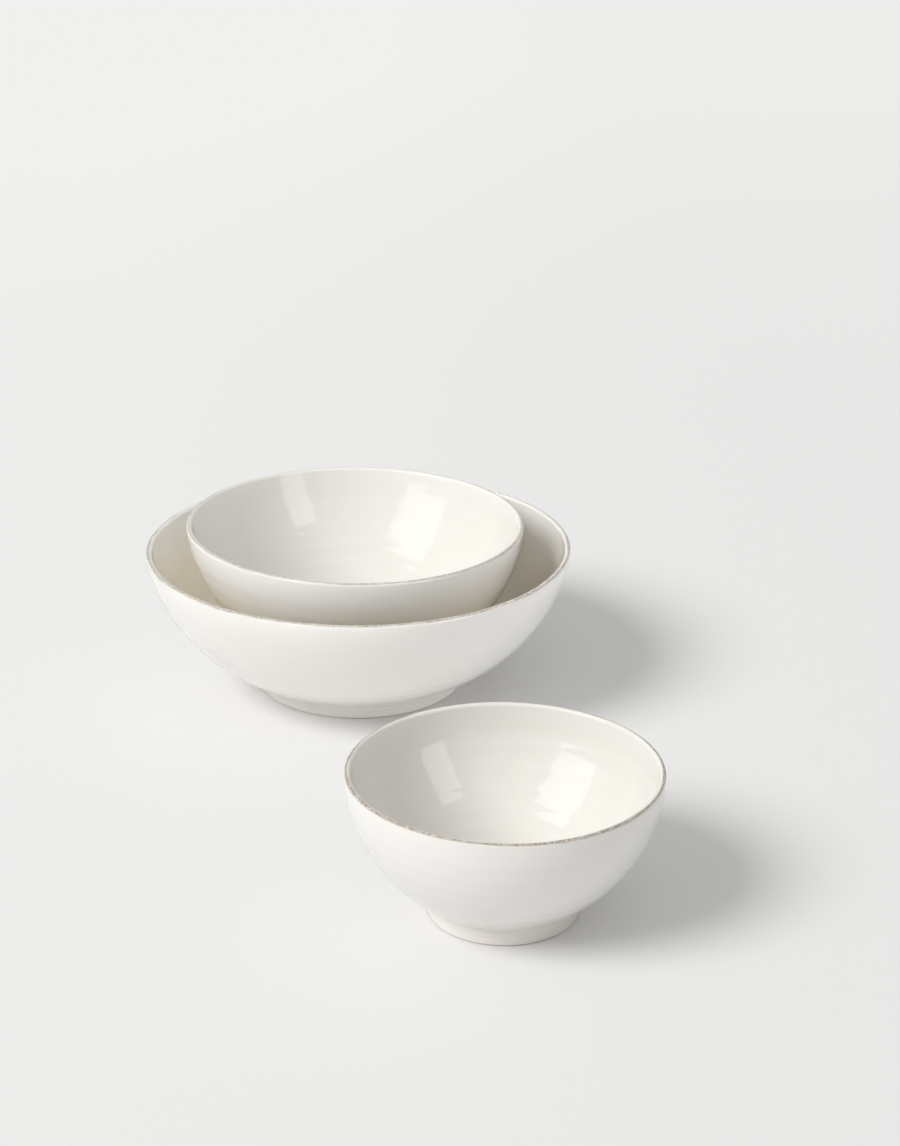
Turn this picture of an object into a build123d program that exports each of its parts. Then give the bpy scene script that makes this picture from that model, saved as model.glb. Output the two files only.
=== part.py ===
from build123d import *
import os
from dataclasses import dataclass
from math import atan2, hypot, tan

# A set of three glazed stoneware bowls that nest. Each bowl is thrown in one piece: a foot ring,
# a wall that swells from the heel to an almost upright rim, a half-round lip and a dished floor.
# The medium bowl stands inside the large one, foot ring on floor. The small bowl stands beside
# them on the same table.
#
# Millimetres, +Z up. The origin is the centre of the large bowl's foot ring, on the table.
# Every bowl is a body of revolution about its own upright axis. Its outline is made of
# (radius, height) points, with the height counted from the bowl's own foot.

# Where the bowls stand
SMALL_BOWL_PLACE = (82.3, -285.0)  # centre of the small bowl's foot on the table
NEST_CLEARANCE = 0.1  # gap left between the medium bowl's foot ring and the large bowl's floor

# What the three bowls share
FOOT_HEIGHT = 9.0  # table to the crease between foot ring and wall
FOOT_TAPER = 0.6  # the foot ring is this much narrower in radius at the table
RECESS_DEPTH = 4.0  # hollow turned into the underside, inside the foot ring
RECESS_DRAFT = 1.0  # how far the hollow's side leans outwards towards the table
FOOT_EDGE_ROUND = 1.2  # rounding of both edges of the foot ring's face
RECESS_CORNER_ROUND = 2.0  # rounding where the hollow's side meets its ceiling
CREASE_ROUND = 3.0  # rounding of the crease between foot ring and wall
LIP_HANDLE_SHARE = 2 / 3  # curve handles this long, in lip thicknesses, make a half-round lip


@dataclass
class Bowl:
    """The driving dimensions of one bowl."""

    rim_radius: float
    height: float
    foot_radius: float  # outside of the foot ring at the crease
    foot_width: float  # from there to the inside of the foot ring
    heel_run: float  # how far out the wall's lowest tangent leg goes
    heel_rise: float  # and how far up
    rim_flare: float  # how far the wall's highest tangent leg leans out to the rim
    rim_rise: float  # and how far up it goes
    floor_height: float  # middle of the floor above the table
    heel_thickness: float  # wall thickness at the foot of the wall
    belly_thickness: float  # around the fullest curve
    shoulder_thickness: float  # where the wall turns upright
    lip_thickness: float


large = Bowl(
    rim_radius=127.5,
    height=87.0,
    foot_radius=63.0,
    foot_width=7.0,
    heel_run=49.5,
    heel_rise=18.5,
    rim_flare=-0.7,
    rim_rise=10.6,
    floor_height=12.5,
    heel_thickness=7.5,
    belly_thickness=7.0,
    shoulder_thickness=5.0,
    lip_thickness=3.7,
)
medium = Bowl(
    rim_radius=101.0,
    height=86.9,
    foot_radius=51.0,
    foot_width=6.5,
    heel_run=24.0,
    heel_rise=13.6,
    rim_flare=2.9,
    rim_rise=31.5,
    floor_height=12.0,
    heel_thickness=7.0,
    belly_thickness=6.5,
    shoulder_thickness=6.2,
    lip_thickness=3.4,
)
small = Bowl(
    rim_radius=79.2,
    height=78.0,
    foot_radius=38.9,
    foot_width=6.0,
    heel_run=18.5,
    heel_rise=11.6,
    rim_flare=-0.5,
    rim_rise=30.0,
    floor_height=11.5,
    heel_thickness=6.5,
    belly_thickness=6.2,
    shoulder_thickness=5.8,
    lip_thickness=3.2,
)


# The outlines: control points of smooth curves


def step_along(start, towards, distance):
    """The point this far from start, in the direction of another point or away from it."""
    run, rise = towards[0] - start[0], towards[1] - start[1]
    share = distance / hypot(run, rise)
    return start[0] + run * share, start[1] + rise * share


def crease(bowl):
    """The rounded crease above the foot ring: where it starts, its corner, where it ends."""
    corner = (bowl.foot_radius, FOOT_HEIGHT)
    table_end = (bowl.foot_radius - FOOT_TAPER, 0)
    wall_lead = (bowl.foot_radius + bowl.heel_run, FOOT_HEIGHT + bowl.heel_rise)
    turn = atan2(FOOT_HEIGHT, FOOT_TAPER) - atan2(bowl.heel_rise, bowl.heel_run)
    setback = CREASE_ROUND * tan(turn / 2)
    return step_along(corner, table_end, setback), corner, step_along(corner, wall_lead, setback)


def outer_wall(bowl):
    """The outside of the wall, from the crease up to the lip."""
    lip_base = bowl.height - bowl.lip_thickness / 2
    return [
        crease(bowl)[2],
        (bowl.foot_radius + bowl.heel_run, FOOT_HEIGHT + bowl.heel_rise),
        (bowl.rim_radius - bowl.rim_flare, lip_base - bowl.rim_rise),
        (bowl.rim_radius, lip_base),
    ]


def inner_wall(bowl):
    """The inside of the wall: the outside moved in by the thickness, square to the curve."""
    points = outer_wall(bowl)
    thicknesses = (
        bowl.heel_thickness,
        bowl.belly_thickness,
        bowl.shoulder_thickness,
        bowl.lip_thickness,
    )
    before = [points[0]] + points[:-1]
    after = points[1:] + [points[-1]]
    moved = []
    for point, last, following, thickness in zip(points, before, after, thicknesses):
        run, rise = following[0] - last[0], following[1] - last[1]
        square_to_curve = (point[0] - rise, point[1] + run)
        moved.append(step_along(point, square_to_curve, thickness))
    return moved


def dished_floor(bowl):
    """The floor, which runs on from the inner wall and flattens towards the middle."""
    start, lead = inner_wall(bowl)[:2]
    slope = (lead[1] - start[1]) / (lead[0] - start[0])
    flat_radius = start[0] - (start[1] - bowl.floor_height) / slope
    return [start, (flat_radius, bowl.floor_height), (0, bowl.floor_height)]


def lip(bowl):
    """The half-round lip, which runs on from both sides of the wall."""
    outside, inside = outer_wall(bowl), inner_wall(bowl)
    handle = bowl.lip_thickness * LIP_HANDLE_SHARE
    return [
        outside[3],
        step_along(outside[3], outside[2], -handle),
        step_along(inside[3], inside[2], -handle),
        inside[3],
    ]


# The solids


def rounded(section, corner, radius):
    """The section with one of its corners rounded off."""
    return section.fillet_2d(radius, [section.vertices().sort_by_distance(corner)[0]])


def thrown(bowl):
    """One bowl as a solid, its foot centred on the origin."""
    crease_start, _, crease_end = crease(bowl)
    foot_outer_corner = (bowl.foot_radius - FOOT_TAPER, 0)
    foot_inner_corner = (bowl.foot_radius - bowl.foot_width, 0)
    recess_corner = (foot_inner_corner[0] - RECESS_DRAFT, RECESS_DEPTH)
    underside = Polyline(
        (0, bowl.floor_height),
        (0, RECESS_DEPTH),
        recess_corner,
        foot_inner_corner,
        foot_outer_corner,
        crease_start,
    )
    outline = [
        *underside.edges(),
        TangentArc(crease_start, crease_end, tangent=(FOOT_TAPER, FOOT_HEIGHT)),
        Bezier(*outer_wall(bowl)),
        Bezier(*lip(bowl)),
        Bezier(*reversed(inner_wall(bowl))),
        Bezier(*dished_floor(bowl)),
    ]
    section = Face(Wire(outline))
    section = rounded(section, recess_corner, RECESS_CORNER_ROUND)
    section = rounded(section, foot_inner_corner, FOOT_EDGE_ROUND)
    section = rounded(section, foot_outer_corner, FOOT_EDGE_ROUND)
    return revolve(Plane.XZ * section, axis=Axis.Z, clean=False)


def nest_height(host, guest):
    """How high the guest's foot stands when its rounded edge meets the host's dished inside."""
    curves = inner_wall(host), dished_floor(host)
    inside = [Edge.make_bezier(*[(radius, 0, z) for radius, z in points]) for points in curves]
    edge_radius = guest.foot_radius - FOOT_TAPER - FOOT_EDGE_ROUND
    reach = FOOT_EDGE_ROUND + NEST_CLEARANCE
    height = host.height
    while height > host.floor_height:
        edge_centre = Vector(edge_radius, 0, height + FOOT_EDGE_ROUND)
        room = min(curve.distance_to(edge_centre) for curve in inside) - reach
        if room < 0.001:
            break
        height -= room
    return height


os.makedirs("parts", exist_ok=True)
export_step(thrown(large), "parts/large_bowl.step")
export_step(Pos(0, 0, nest_height(large, medium)) * thrown(medium), "parts/medium_bowl.step")
export_step(Pos(*SMALL_BOWL_PLACE, 0) * thrown(small), "parts/small_bowl.step")
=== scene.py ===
from math import atan2, cos, hypot, pi, radians, sin, tan

import bpy
import numpy as np
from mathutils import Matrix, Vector


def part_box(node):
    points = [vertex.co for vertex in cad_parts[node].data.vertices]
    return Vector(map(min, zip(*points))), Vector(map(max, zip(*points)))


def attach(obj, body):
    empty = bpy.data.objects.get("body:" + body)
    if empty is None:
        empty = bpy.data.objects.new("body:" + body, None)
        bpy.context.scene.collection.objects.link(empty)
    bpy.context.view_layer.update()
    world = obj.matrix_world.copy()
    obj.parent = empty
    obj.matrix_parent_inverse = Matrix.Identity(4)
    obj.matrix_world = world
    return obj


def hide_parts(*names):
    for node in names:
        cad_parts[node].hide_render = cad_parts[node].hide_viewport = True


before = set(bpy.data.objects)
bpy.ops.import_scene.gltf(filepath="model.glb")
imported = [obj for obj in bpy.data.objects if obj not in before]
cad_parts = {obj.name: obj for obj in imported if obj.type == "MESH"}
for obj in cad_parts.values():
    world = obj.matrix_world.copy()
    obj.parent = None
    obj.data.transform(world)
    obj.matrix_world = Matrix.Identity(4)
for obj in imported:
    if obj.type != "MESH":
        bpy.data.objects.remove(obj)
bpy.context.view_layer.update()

# Large bowl
# Thrown in one piece from a sandy buff clay, turned at the foot, dipped in a glossy ivory glaze
# and wiped along the lip, where the clay shows. The medium bowl stands in it.


class Shade:
    """A number, colour or direction over a surface. Sums written on it become shader nodes."""

    def __init__(self, tree, socket=None):
        self.tree = tree
        self.socket = socket

    def node(self, kind, settings, inputs, output=0):
        """Any node, by its type, its settings and what goes into its sockets."""
        made = self.tree.nodes.new(kind)
        for name, value in settings.items():
            setattr(made, name, value)
        for name, value in inputs.items():
            if isinstance(value, Shade):
                self.tree.links.new(value.socket, made.inputs[name])
            else:
                made.inputs[name].default_value = value
        return Shade(self.tree, made.outputs[output] if made.outputs else None)

    def maths(self, operation, *numbers):
        return self.node("ShaderNodeMath", {"operation": operation}, dict(enumerate(numbers)))

    def __add__(self, other):
        return self.maths("ADD", self, other)

    def __sub__(self, other):
        return self.maths("SUBTRACT", self, other)

    def __rsub__(self, other):
        return self.maths("SUBTRACT", other, self)

    def __mul__(self, other):
        return self.maths("MULTIPLY", self, other)

    __radd__ = __add__
    __rmul__ = __mul__

    def wave(self):
        return self.maths("SINE", self)

    def size(self):
        return self.maths("ABSOLUTE", self)

    def step(self, start, end):
        """0 at start, 1 at end, with a smooth passage between them."""
        settings = {"interpolation_type": "SMOOTHSTEP", "clamp": True}
        if start > end:
            return 1 - self.step(end, start)
        return self.node("ShaderNodeMapRange", settings, {0: self, 1: start, 2: end})

    def blend(self, colour, other):
        """One colour where this is 0 and the other where it is 1."""
        settings = {"data_type": "RGBA"}
        return self.node("ShaderNodeMix", settings, {0: self, 6: colour, 7: other}, 2)

    def noise(self, scale, detail=2.0, seed=0.0):
        """Soft random patches, about this many to the metre."""
        inputs = {"Vector": self, "W": seed, "Scale": scale, "Detail": detail}
        return self.node("ShaderNodeTexNoise", {"noise_dimensions": "4D"}, inputs)


def new_material(name):
    material = bpy.data.materials.new(name)
    material.use_nodes = True
    material.node_tree.nodes.clear()
    return material, Shade(material.node_tree)


def finish_material(paint, inputs):
    surface = paint.node("ShaderNodeBsdfPrincipled", {}, inputs)
    paint.node("ShaderNodeOutputMaterial", {}, {"Surface": surface})


def smooth_curve(handles, count):
    """Points along the curve with these handles, both ends included."""
    share = np.linspace(0, 1, count)[:, None]
    points = [np.broadcast_to(np.array(h, float), (count, 2)) for h in handles]
    while len(points) > 1:
        points = [a + (b - a) * share for a, b in zip(points, points[1:])]
    return points[0]


def along(start, end, distance):
    """The point this far from start on the way to end."""
    run, rise = end[0] - start[0], end[1] - start[1]
    share = distance / hypot(run, rise)
    return start[0] + run * share, start[1] + rise * share


def round_corner(before, corner, after, radius, count=6):
    """The rounding of one corner of the outline."""
    turn = atan2(after[1] - corner[1], after[0] - corner[0])
    turn -= atan2(corner[1] - before[1], corner[0] - before[0])
    turn = abs((turn + pi) % (2 * pi) - pi)
    setback = radius * tan(turn / 2)
    ends = along(corner, before, setback), along(corner, after, setback)
    return smooth_curve((ends[0], corner, ends[1]), count)


def bowl_outline(rim, height, foot, heel, shoulder, floor_height, thicknesses):
    """Radius and height of the bowl's surface, from under its middle round to the floor's middle.

    The foot is its radius and width, and the heel and the shoulder are how far out and up the
    wall sets off from the foot and comes to the rim. Thicknesses run from the heel to the lip.
    The second value is the way along the surface from the top of the lip, positive inside.
    """
    foot_radius, foot_width = foot
    foot_height, foot_taper = 0.009, 0.0006
    recess_depth, recess_draft, recess_round = 0.004, 0.001, 0.002
    edge_round, crease_round = 0.0012, 0.003
    lip = thicknesses[3]
    outside = [
        (foot_radius, foot_height),
        (foot_radius + heel[0], foot_height + heel[1]),
        (rim - shoulder[0], height - lip / 2 - shoulder[1]),
        (rim, height - lip / 2),
    ]
    inner_edge, outer_edge = (foot_radius - foot_width, 0), (foot_radius - foot_taper, 0)
    recess_middle, recess_corner = (0, recess_depth), (inner_edge[0] - recess_draft, recess_depth)
    side_start = along(outer_edge, outside[0], 0.002)
    side_end = along(outside[0], outer_edge, crease_round)
    foot_ring = [
        smooth_curve((recess_middle, (recess_corner[0] - recess_round, recess_depth)), 9),
        round_corner(recess_middle, recess_corner, inner_edge, recess_round),
        round_corner(recess_corner, inner_edge, outer_edge, edge_round),
        round_corner(inner_edge, outer_edge, outside[0], edge_round),
        smooth_curve((side_start, side_end), 5),
        round_corner(outer_edge, outside[0], outside[1], crease_round),
    ]
    outside[0] = tuple(foot_ring[-1][-1])
    before, after = [outside[0]] + outside[:-1], outside[1:] + [outside[-1]]
    inside = []
    for point, last, following, thickness in zip(outside, before, after, thicknesses):
        square = (point[0] - following[1] + last[1], point[1] + following[0] - last[0])
        inside.append(along(point, square, thickness))
    slope = (inside[1][1] - inside[0][1]) / (inside[1][0] - inside[0][0])
    flat_radius = inside[0][0] - (inside[0][1] - floor_height) / slope
    # the two curve handles that make the lip half round
    crown = along(outside[3], outside[2], -lip * 2 / 3), along(inside[3], inside[2], -lip * 2 / 3)
    outside_rows, lip_rows, inside_rows, floor_rows = 92, 17, 118, 48
    floor = inside[0], (flat_radius, floor_height), (0, floor_height)
    wall = [
        smooth_curve(outside, outside_rows)[1:],
        smooth_curve((outside[3], *crown, inside[3]), lip_rows)[1:],
        smooth_curve(inside[::-1], inside_rows)[1:],
        smooth_curve(floor, floor_rows)[1:],
    ]
    outline = np.vstack(foot_ring + wall)
    same_point = 1e-7
    outline = outline[np.hypot(*np.diff(outline, axis=0, prepend=-1).T) > same_point]
    way = np.cumsum(np.hypot(*np.diff(outline, axis=0, prepend=outline[:1]).T))
    return outline, way - way[outline[:, 1].argmax()]


def throwing_rings(way, angle, depth, pitch):
    """The spiral the potter's fingers leave: shallow grooves between low ridges, never even."""
    drift = 0.22 * np.sin(way / 0.017 + 1.3) + 0.1 * np.sin(2 * angle + way / 0.02)
    strength = 0.7 + 0.3 * np.sin(way / 0.021 + 0.6) * np.cos(angle + 1)
    turns = way / pitch - angle / (2 * pi) + drift
    ridge_softness, mean_height = 0.015, 0.65
    grooves = np.sqrt(np.sin(pi * turns) ** 2 + ridge_softness)
    return depth * strength * (mean_height - grooves)


def thrown_mesh(name, outline, way, place, ring_depth, ring_pitch, lean):
    """A bowl's skin: its outline turned about the upright axis, with the potter's marks in it.

    The lean is how far the rim drops for each metre to the right, and how far left it sits.
    """
    columns = 320
    angle = np.linspace(0, 2 * pi, columns, endpoint=False)[None, :]
    way = way[:, None]
    travel = np.gradient(outline, axis=0)
    travel /= np.hypot(*travel.T)[:, None]
    radius, height = outline[:, :1], outline[:, 1:]
    # the rings fade in below the lip, and out at the middle of the floor and above the foot
    inside = np.clip((way - 0.003) / 0.012, 0, 1) * np.clip(radius / 0.02, 0, 1)
    outside = np.clip((-way - 0.004) / 0.01, 0, 1) * np.clip((height - 0.012) / 0.01, 0, 1)
    outer_depth, outer_pitch = ring_depth * 0.35, ring_pitch * 0.8
    relief = inside * throwing_rings(way, angle, ring_depth, ring_pitch)
    relief = relief + outside * throwing_rings(-way, angle + 2, outer_depth, outer_pitch)
    top, rim_waver = np.clip(height / outline[:, 1].max(), 0, 1) ** 3, 0.0003
    x = (radius + travel[:, 1:] * relief) * np.cos(angle)
    y = (radius + travel[:, 1:] * relief) * np.sin(angle)
    z = height - travel[:, :1] * relief
    z = z + top * rim_waver * (np.sin(2 * angle + 0.7) + 0.6 * np.sin(3 * angle + 2.1))
    # the lean starts above the foot, which stays flat on what it stands on
    leaning = np.clip((z - 0.012) / 0.06, 0, 1)
    tilt, shift = lean
    z = z - tilt * x * leaning
    x = x - shift * leaning
    points = np.stack([x + place[0], y + place[1], z + place[2]], axis=2)
    rings = points[1:-1].reshape(-1, 3)
    vertices = np.vstack([points[0, :1], rings, points[-1, :1]])
    rows, last = len(outline) - 2, len(vertices) - 1
    near = np.arange(columns)
    far = (near + 1) % columns
    start = 1 + columns * np.arange(rows - 1)[:, None]
    sides = np.stack([start + near, start + far, start + columns + far, start + columns + near], 2)
    under = np.stack([0 * near, 1 + far, 1 + near], 1)
    rim_start = 1 + columns * (rows - 1)
    over = np.stack([last + 0 * near, rim_start + near, rim_start + far], 1)
    mesh = bpy.data.meshes.new(name)
    faces = sides.reshape(-1, 4).tolist() + under.tolist() + over.tolist()
    mesh.from_pydata(vertices.tolist(), [], faces)
    mesh.shade_smooth()
    for title, rowwise in (("lip_way", way), ("rise", height)):
        spread = np.broadcast_to(rowwise, (len(outline), columns))
        values = np.concatenate([spread[0, :1], spread[1:-1].ravel(), spread[-1, :1]])
        attribute = mesh.attributes.new(title, "FLOAT", "POINT")
        attribute.data.foreach_set("value", values.astype(np.float32))
    made = bpy.data.objects.new(name, mesh)
    bpy.context.scene.collection.objects.link(made)
    return made


def glazed_clay(name, seed, bare_lip, painted_warm_shade_inside, painted_warm_shade_outside):
    """Ivory glaze over buff clay, warmer where it lies thin and wiped off along the lip, with
    painted warm shade low on the walls.

    bare_lip is how strong the wiped lip is. The other two are how strong the warm beige painted
    low inside and low outside is: painted shade and warm bounced light of the gap between nested
    bowls. All run from 0 to 1.
    """
    glaze, thin_glaze_and_inside_shade = (0.825, 0.81, 0.78, 1), (0.76, 0.74, 0.69, 1)
    beige_glaze_and_warm_shade, foot_glaze = (0.80, 0.73, 0.60, 1), (0.83, 0.79, 0.73, 1)
    clay, dark_clay = (0.43, 0.375, 0.32, 1), (0.25, 0.21, 0.175, 1)
    material, paint = new_material(name)
    at = paint.node("ShaderNodeTexCoord", {}, {}, "Object")
    lip_way = paint.node("ShaderNodeAttribute", {"attribute_name": "lip_way"}, {}, "Fac")
    rise = paint.node("ShaderNodeAttribute", {"attribute_name": "rise"}, {}, "Fac")
    clouds = at.noise(8, 3, seed)
    patches = at.noise(45, 3, seed + 1)
    grains = at.noise(700, 2, seed + 2)
    specks = at.noise(1700, 1, seed + 3)
    # random thin patches of glaze, and the whole inside painted a shade darker than the outside:
    # painted shade of the hollow
    thin_patches_and_inside_shade = clouds.step(0.35, 0.7) * 0.3 + lip_way.step(0.002, 0.012) * 0.5
    colour = thin_patches_and_inside_shade.blend(glaze, thin_glaze_and_inside_shade)
    # warm beige painted towards the bottom, inside and out: painted shade and warm bounced light,
    # strongest on the walls that face the gap between the nested bowls
    warm_shade_inside_mask = lip_way.step(0.004, 0.035) * painted_warm_shade_inside
    warm_shade_outside_mask = lip_way.step(-0.012, -0.055) * painted_warm_shade_outside
    colour = (warm_shade_inside_mask + warm_shade_outside_mask).blend(colour, beige_glaze_and_warm_shade)
    # the foot, where the turning tool's lines show through
    low_down, line_pitch = lip_way.step(-0.03, -0.05), 0.0031
    foot = rise.step(0.0118, 0.0078) * low_down
    lines = (rise * (2 * pi / line_pitch) + clouds * 6).wave()
    turned = 0.5 + lines * 0.16 + patches.step(0.3, 0.7) * 0.3
    colour = (foot * turned).blend(colour, foot_glaze)
    # the lip, where the glaze was wiped off along a ragged line just outside its top
    ragged = patches * 0.0022 + grains * 0.0012 - 0.0015
    outward = 0.0008
    band = (lip_way + outward).size()
    wiped = (band + ragged).step(0.0014, 0.0008) * bare_lip
    thin = band.step(0.0034, 0.0010) * patches.step(0.15, 0.6) * 0.3
    colour = thin.blend(colour, beige_glaze_and_warm_shade)
    body = specks.step(0.38, 0.62).blend(clay, dark_clay)
    colour = (wiped * (0.5 + grains.step(0.38, 0.6) * 0.5)).blend(colour, body)
    # the bare clay face that the bowl stands on
    face = rise.step(0.0006, 0.0002) * low_down
    colour = face.blend(colour, clay)
    bare = wiped * 0.8 + face
    ripple = at.noise(150, 2, seed + 4) * 0.00003
    grit = grains * bare * 0.00015
    height = ripple + grit + foot * lines * 0.00003
    bump = paint.node("ShaderNodeBump", {}, {"Height": height, "Distance": 1.0, "Strength": 1.0})
    roughness = 0.045 + clouds * 0.045 + bare * 0.6
    surface = {"Base Color": colour, "Roughness": roughness, "Normal": bump, "IOR": 1.5}
    finish_material(paint, surface)
    return material


def foot_place(node):
    """Where the middle of the bowl's foot stands, and the bowl's greatest radius and height."""
    low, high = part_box(node)
    middle = (low + high) / 2
    return (middle.x, middle.y, low.z), (high.x - low.x) / 2, high.z - low.z


place, rim, height = foot_place("large_bowl")
outline, way = bowl_outline(
    rim=rim,
    height=height + 0.0001,  # the lip's curve stays this much below the height it is drawn to
    foot=(0.063, 0.007),
    heel=(0.0495, 0.0185),
    shoulder=(-0.0007, 0.0106),
    floor_height=0.0125,
    thicknesses=(0.0075, 0.007, 0.005, 0.0037),
)
marks = {"ring_depth": 0.00022, "ring_pitch": 0.0118, "lean": (0, 0)}
large = thrown_mesh("large_bowl_thrown", outline, way, place, **marks)
# the large bowl's inside is painted warm beige low down: painted shade and bounced light of the
# gap where the medium bowl stands
finish = {"seed": 3, "bare_lip": 0.9, "painted_warm_shade_inside": 0.8, "painted_warm_shade_outside": 0}
large.data.materials.append(glazed_clay("large_bowl_glaze", **finish))
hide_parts("large_bowl")
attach(large, "large_bowl")

# Medium bowl
# The same clay and glaze. It has settled a little askew in the large bowl, so its rim leans
# down to the right and sits slightly left of its foot.

place, rim, height = foot_place("medium_bowl")
outline, way = bowl_outline(
    rim=rim,
    height=height - 0.00015,  # this lip's curve rises that much above it
    foot=(0.051, 0.0065),
    heel=(0.024, 0.0136),
    shoulder=(0.0029, 0.0315),
    floor_height=0.012,
    thicknesses=(0.007, 0.0065, 0.0062, 0.0034),
)
marks = {"ring_depth": 0.00027, "ring_pitch": 0.0113, "lean": (0.0134, 0.0019)}
medium = thrown_mesh("medium_bowl_thrown", outline, way, place, **marks)
# the medium bowl's outside is painted warm beige low down: painted shade and bounced light of the
# gap inside the large bowl
finish = {"seed": 7, "bare_lip": 0.7, "painted_warm_shade_inside": 0, "painted_warm_shade_outside": 0.75}
medium.data.materials.append(glazed_clay("medium_bowl_glaze", **finish))
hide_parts("medium_bowl")
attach(medium, "medium_bowl")

# Small bowl
# The same again, with more of its glaze wiped off: a line of bare clay runs all round the lip.
# It stands beside the others on the table.

place, rim, height = foot_place("small_bowl")
outline, way = bowl_outline(
    rim=rim,
    height=height,
    foot=(0.0389, 0.006),
    heel=(0.0185, 0.0116),
    shoulder=(-0.0005, 0.030),
    floor_height=0.0115,
    thicknesses=(0.0065, 0.0062, 0.0058, 0.0032),
)
marks = {"ring_depth": 0.00027, "ring_pitch": 0.0103, "lean": (0, 0)}
small = thrown_mesh("small_bowl_thrown", outline, way, place, **marks)
finish = {"seed": 11, "bare_lip": 1.0, "painted_warm_shade_inside": 0.04, "painted_warm_shade_outside": 0}
small.data.materials.append(glazed_clay("small_bowl_glaze", **finish))
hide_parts("small_bowl")
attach(small, "small_bowl")

# Table
# A plain matt sheet of off-white board, laid flat. It runs far past the bowls on every side, so
# that no edge of it shows.

material, paint = new_material("matt_board")
at = paint.node("ShaderNodeTexCoord", {}, {}, "Object")
# painted light: the sheet is painted a little lighter towards the left and the back, where more
# light falls on it
across = paint.node("ShaderNodeSeparateXYZ", {}, {0: at}, 0)
back = paint.node("ShaderNodeSeparateXYZ", {}, {0: at}, 1)
painted_light_falloff = across.step(0.4, -0.4) * 0.6 + back.step(0.4, 2.4) * 0.6
colour = (painted_light_falloff + at.noise(1.5, 2) * 0.1).blend((0.80, 0.80, 0.795, 1), (0.875, 0.872, 0.865, 1))
roughness = 0.8 + at.noise(40, 2) * 0.1
finish_material(paint, {"Base Color": colour, "Roughness": roughness, "Specular IOR Level": 0.2})
bpy.ops.mesh.primitive_plane_add(size=14)
table = bpy.context.object
table.name = "table"
table.data.materials.append(material)

# Light
# A large soft key light high on the left and in front, white walls all round that fill the
# shadows, and the two softboxes whose windows show in the glaze.


def towards(azimuth, elevation):
    flat = cos(radians(elevation))
    across, back = flat * cos(radians(azimuth)), flat * sin(radians(azimuth))
    return Vector((across, back, sin(radians(elevation))))


def add_light(name, kind, direction, settings):
    light = bpy.data.lights.new(name, kind)
    for title, value in settings.items():
        setattr(light, title, value)
    lamp = bpy.data.objects.new(name, light)
    lamp.rotation_euler = direction.to_track_quat("Z", "Y").to_euler()
    bpy.context.scene.collection.objects.link(lamp)
    return lamp


key = add_light("key", "SUN", towards(-149, 42), {"energy": 2.1, "angle": radians(28)})
key.visible_glossy = False

# The nested bowls also get the light that the table throws back up, and the light of two white
# cards: the large bowl's stands on the right and reaches into the gap, the medium's in front.
for name, azimuth, elevation, energy, spread, bowls_lit, bowls_in_the_way in (
    ("bounce", -62, -24, 0.5, 70, (large, medium), (large, medium)),
    ("right_card", -35, 26, 0.6, 30, (large,), (large,)),
    ("front_card", -72, 24, 0.3, 40, (medium,), (large, medium)),
):
    settings = {"energy": energy, "angle": radians(spread)}
    lamp = add_light(name, "SUN", towards(azimuth, elevation), settings)
    lamp.visible_glossy = False
    lit = bpy.data.collections.new(name + "_lit")
    shadowing = bpy.data.collections.new(name + "_shadows")
    for bowl in bowls_lit:
        lit.objects.link(bowl)
    for bowl in bowls_in_the_way:
        shadowing.objects.link(bowl)
    lamp.light_linking.receiver_collection = lit
    lamp.light_linking.blocker_collection = shadowing

bowls_middle = Vector((0.03, -0.15, 0.06))
for name, place, width, tall, radiance in (
    ("left_window", (-0.95, -0.75, 0.80), 0.86, 1.08, 1.85),
    ("right_window", (1.0, -0.85, 0.48), 0.44, 1.02, 2.0),
):
    settings = {
        "shape": "RECTANGLE",
        "size": width,
        "size_y": tall,
        "energy": radiance * pi * width * tall,
    }
    window = add_light(name, "AREA", Vector(place) - bowls_middle, settings)
    window.location = place
    window.visible_diffuse = False

# The lit walls look brighter, straight on and in the glaze, than the light they pass on.
world = bpy.data.worlds.new("white_walls")
world.use_nodes = True
walls = Shade(world.node_tree)
passed_on = walls.node("ShaderNodeLightPath", {}, {}, "Is Diffuse Ray")
walls = passed_on.blend((0.78, 0.78, 0.775, 1), (0.555, 0.555, 0.552, 1))
world.node_tree.links.new(walls.socket, world.node_tree.nodes["Background"].inputs["Color"])
bpy.context.scene.world = world
bpy.context.scene.view_settings.view_transform = "Standard"

# Camera
# A long lens on a stand in front of the table, more than a metre away, looking down on the
# bowls and a very little askew.

lens = bpy.data.cameras.new("camera")
lens.lens = 74.3
camera = bpy.data.objects.new("camera", lens)
camera.location = (0.05494, -1.3311, 0.5956)
camera.rotation_euler = (radians(68.385), radians(-0.195), radians(0.077))
bpy.context.scene.collection.objects.link(camera)
bpy.context.scene.camera = camera
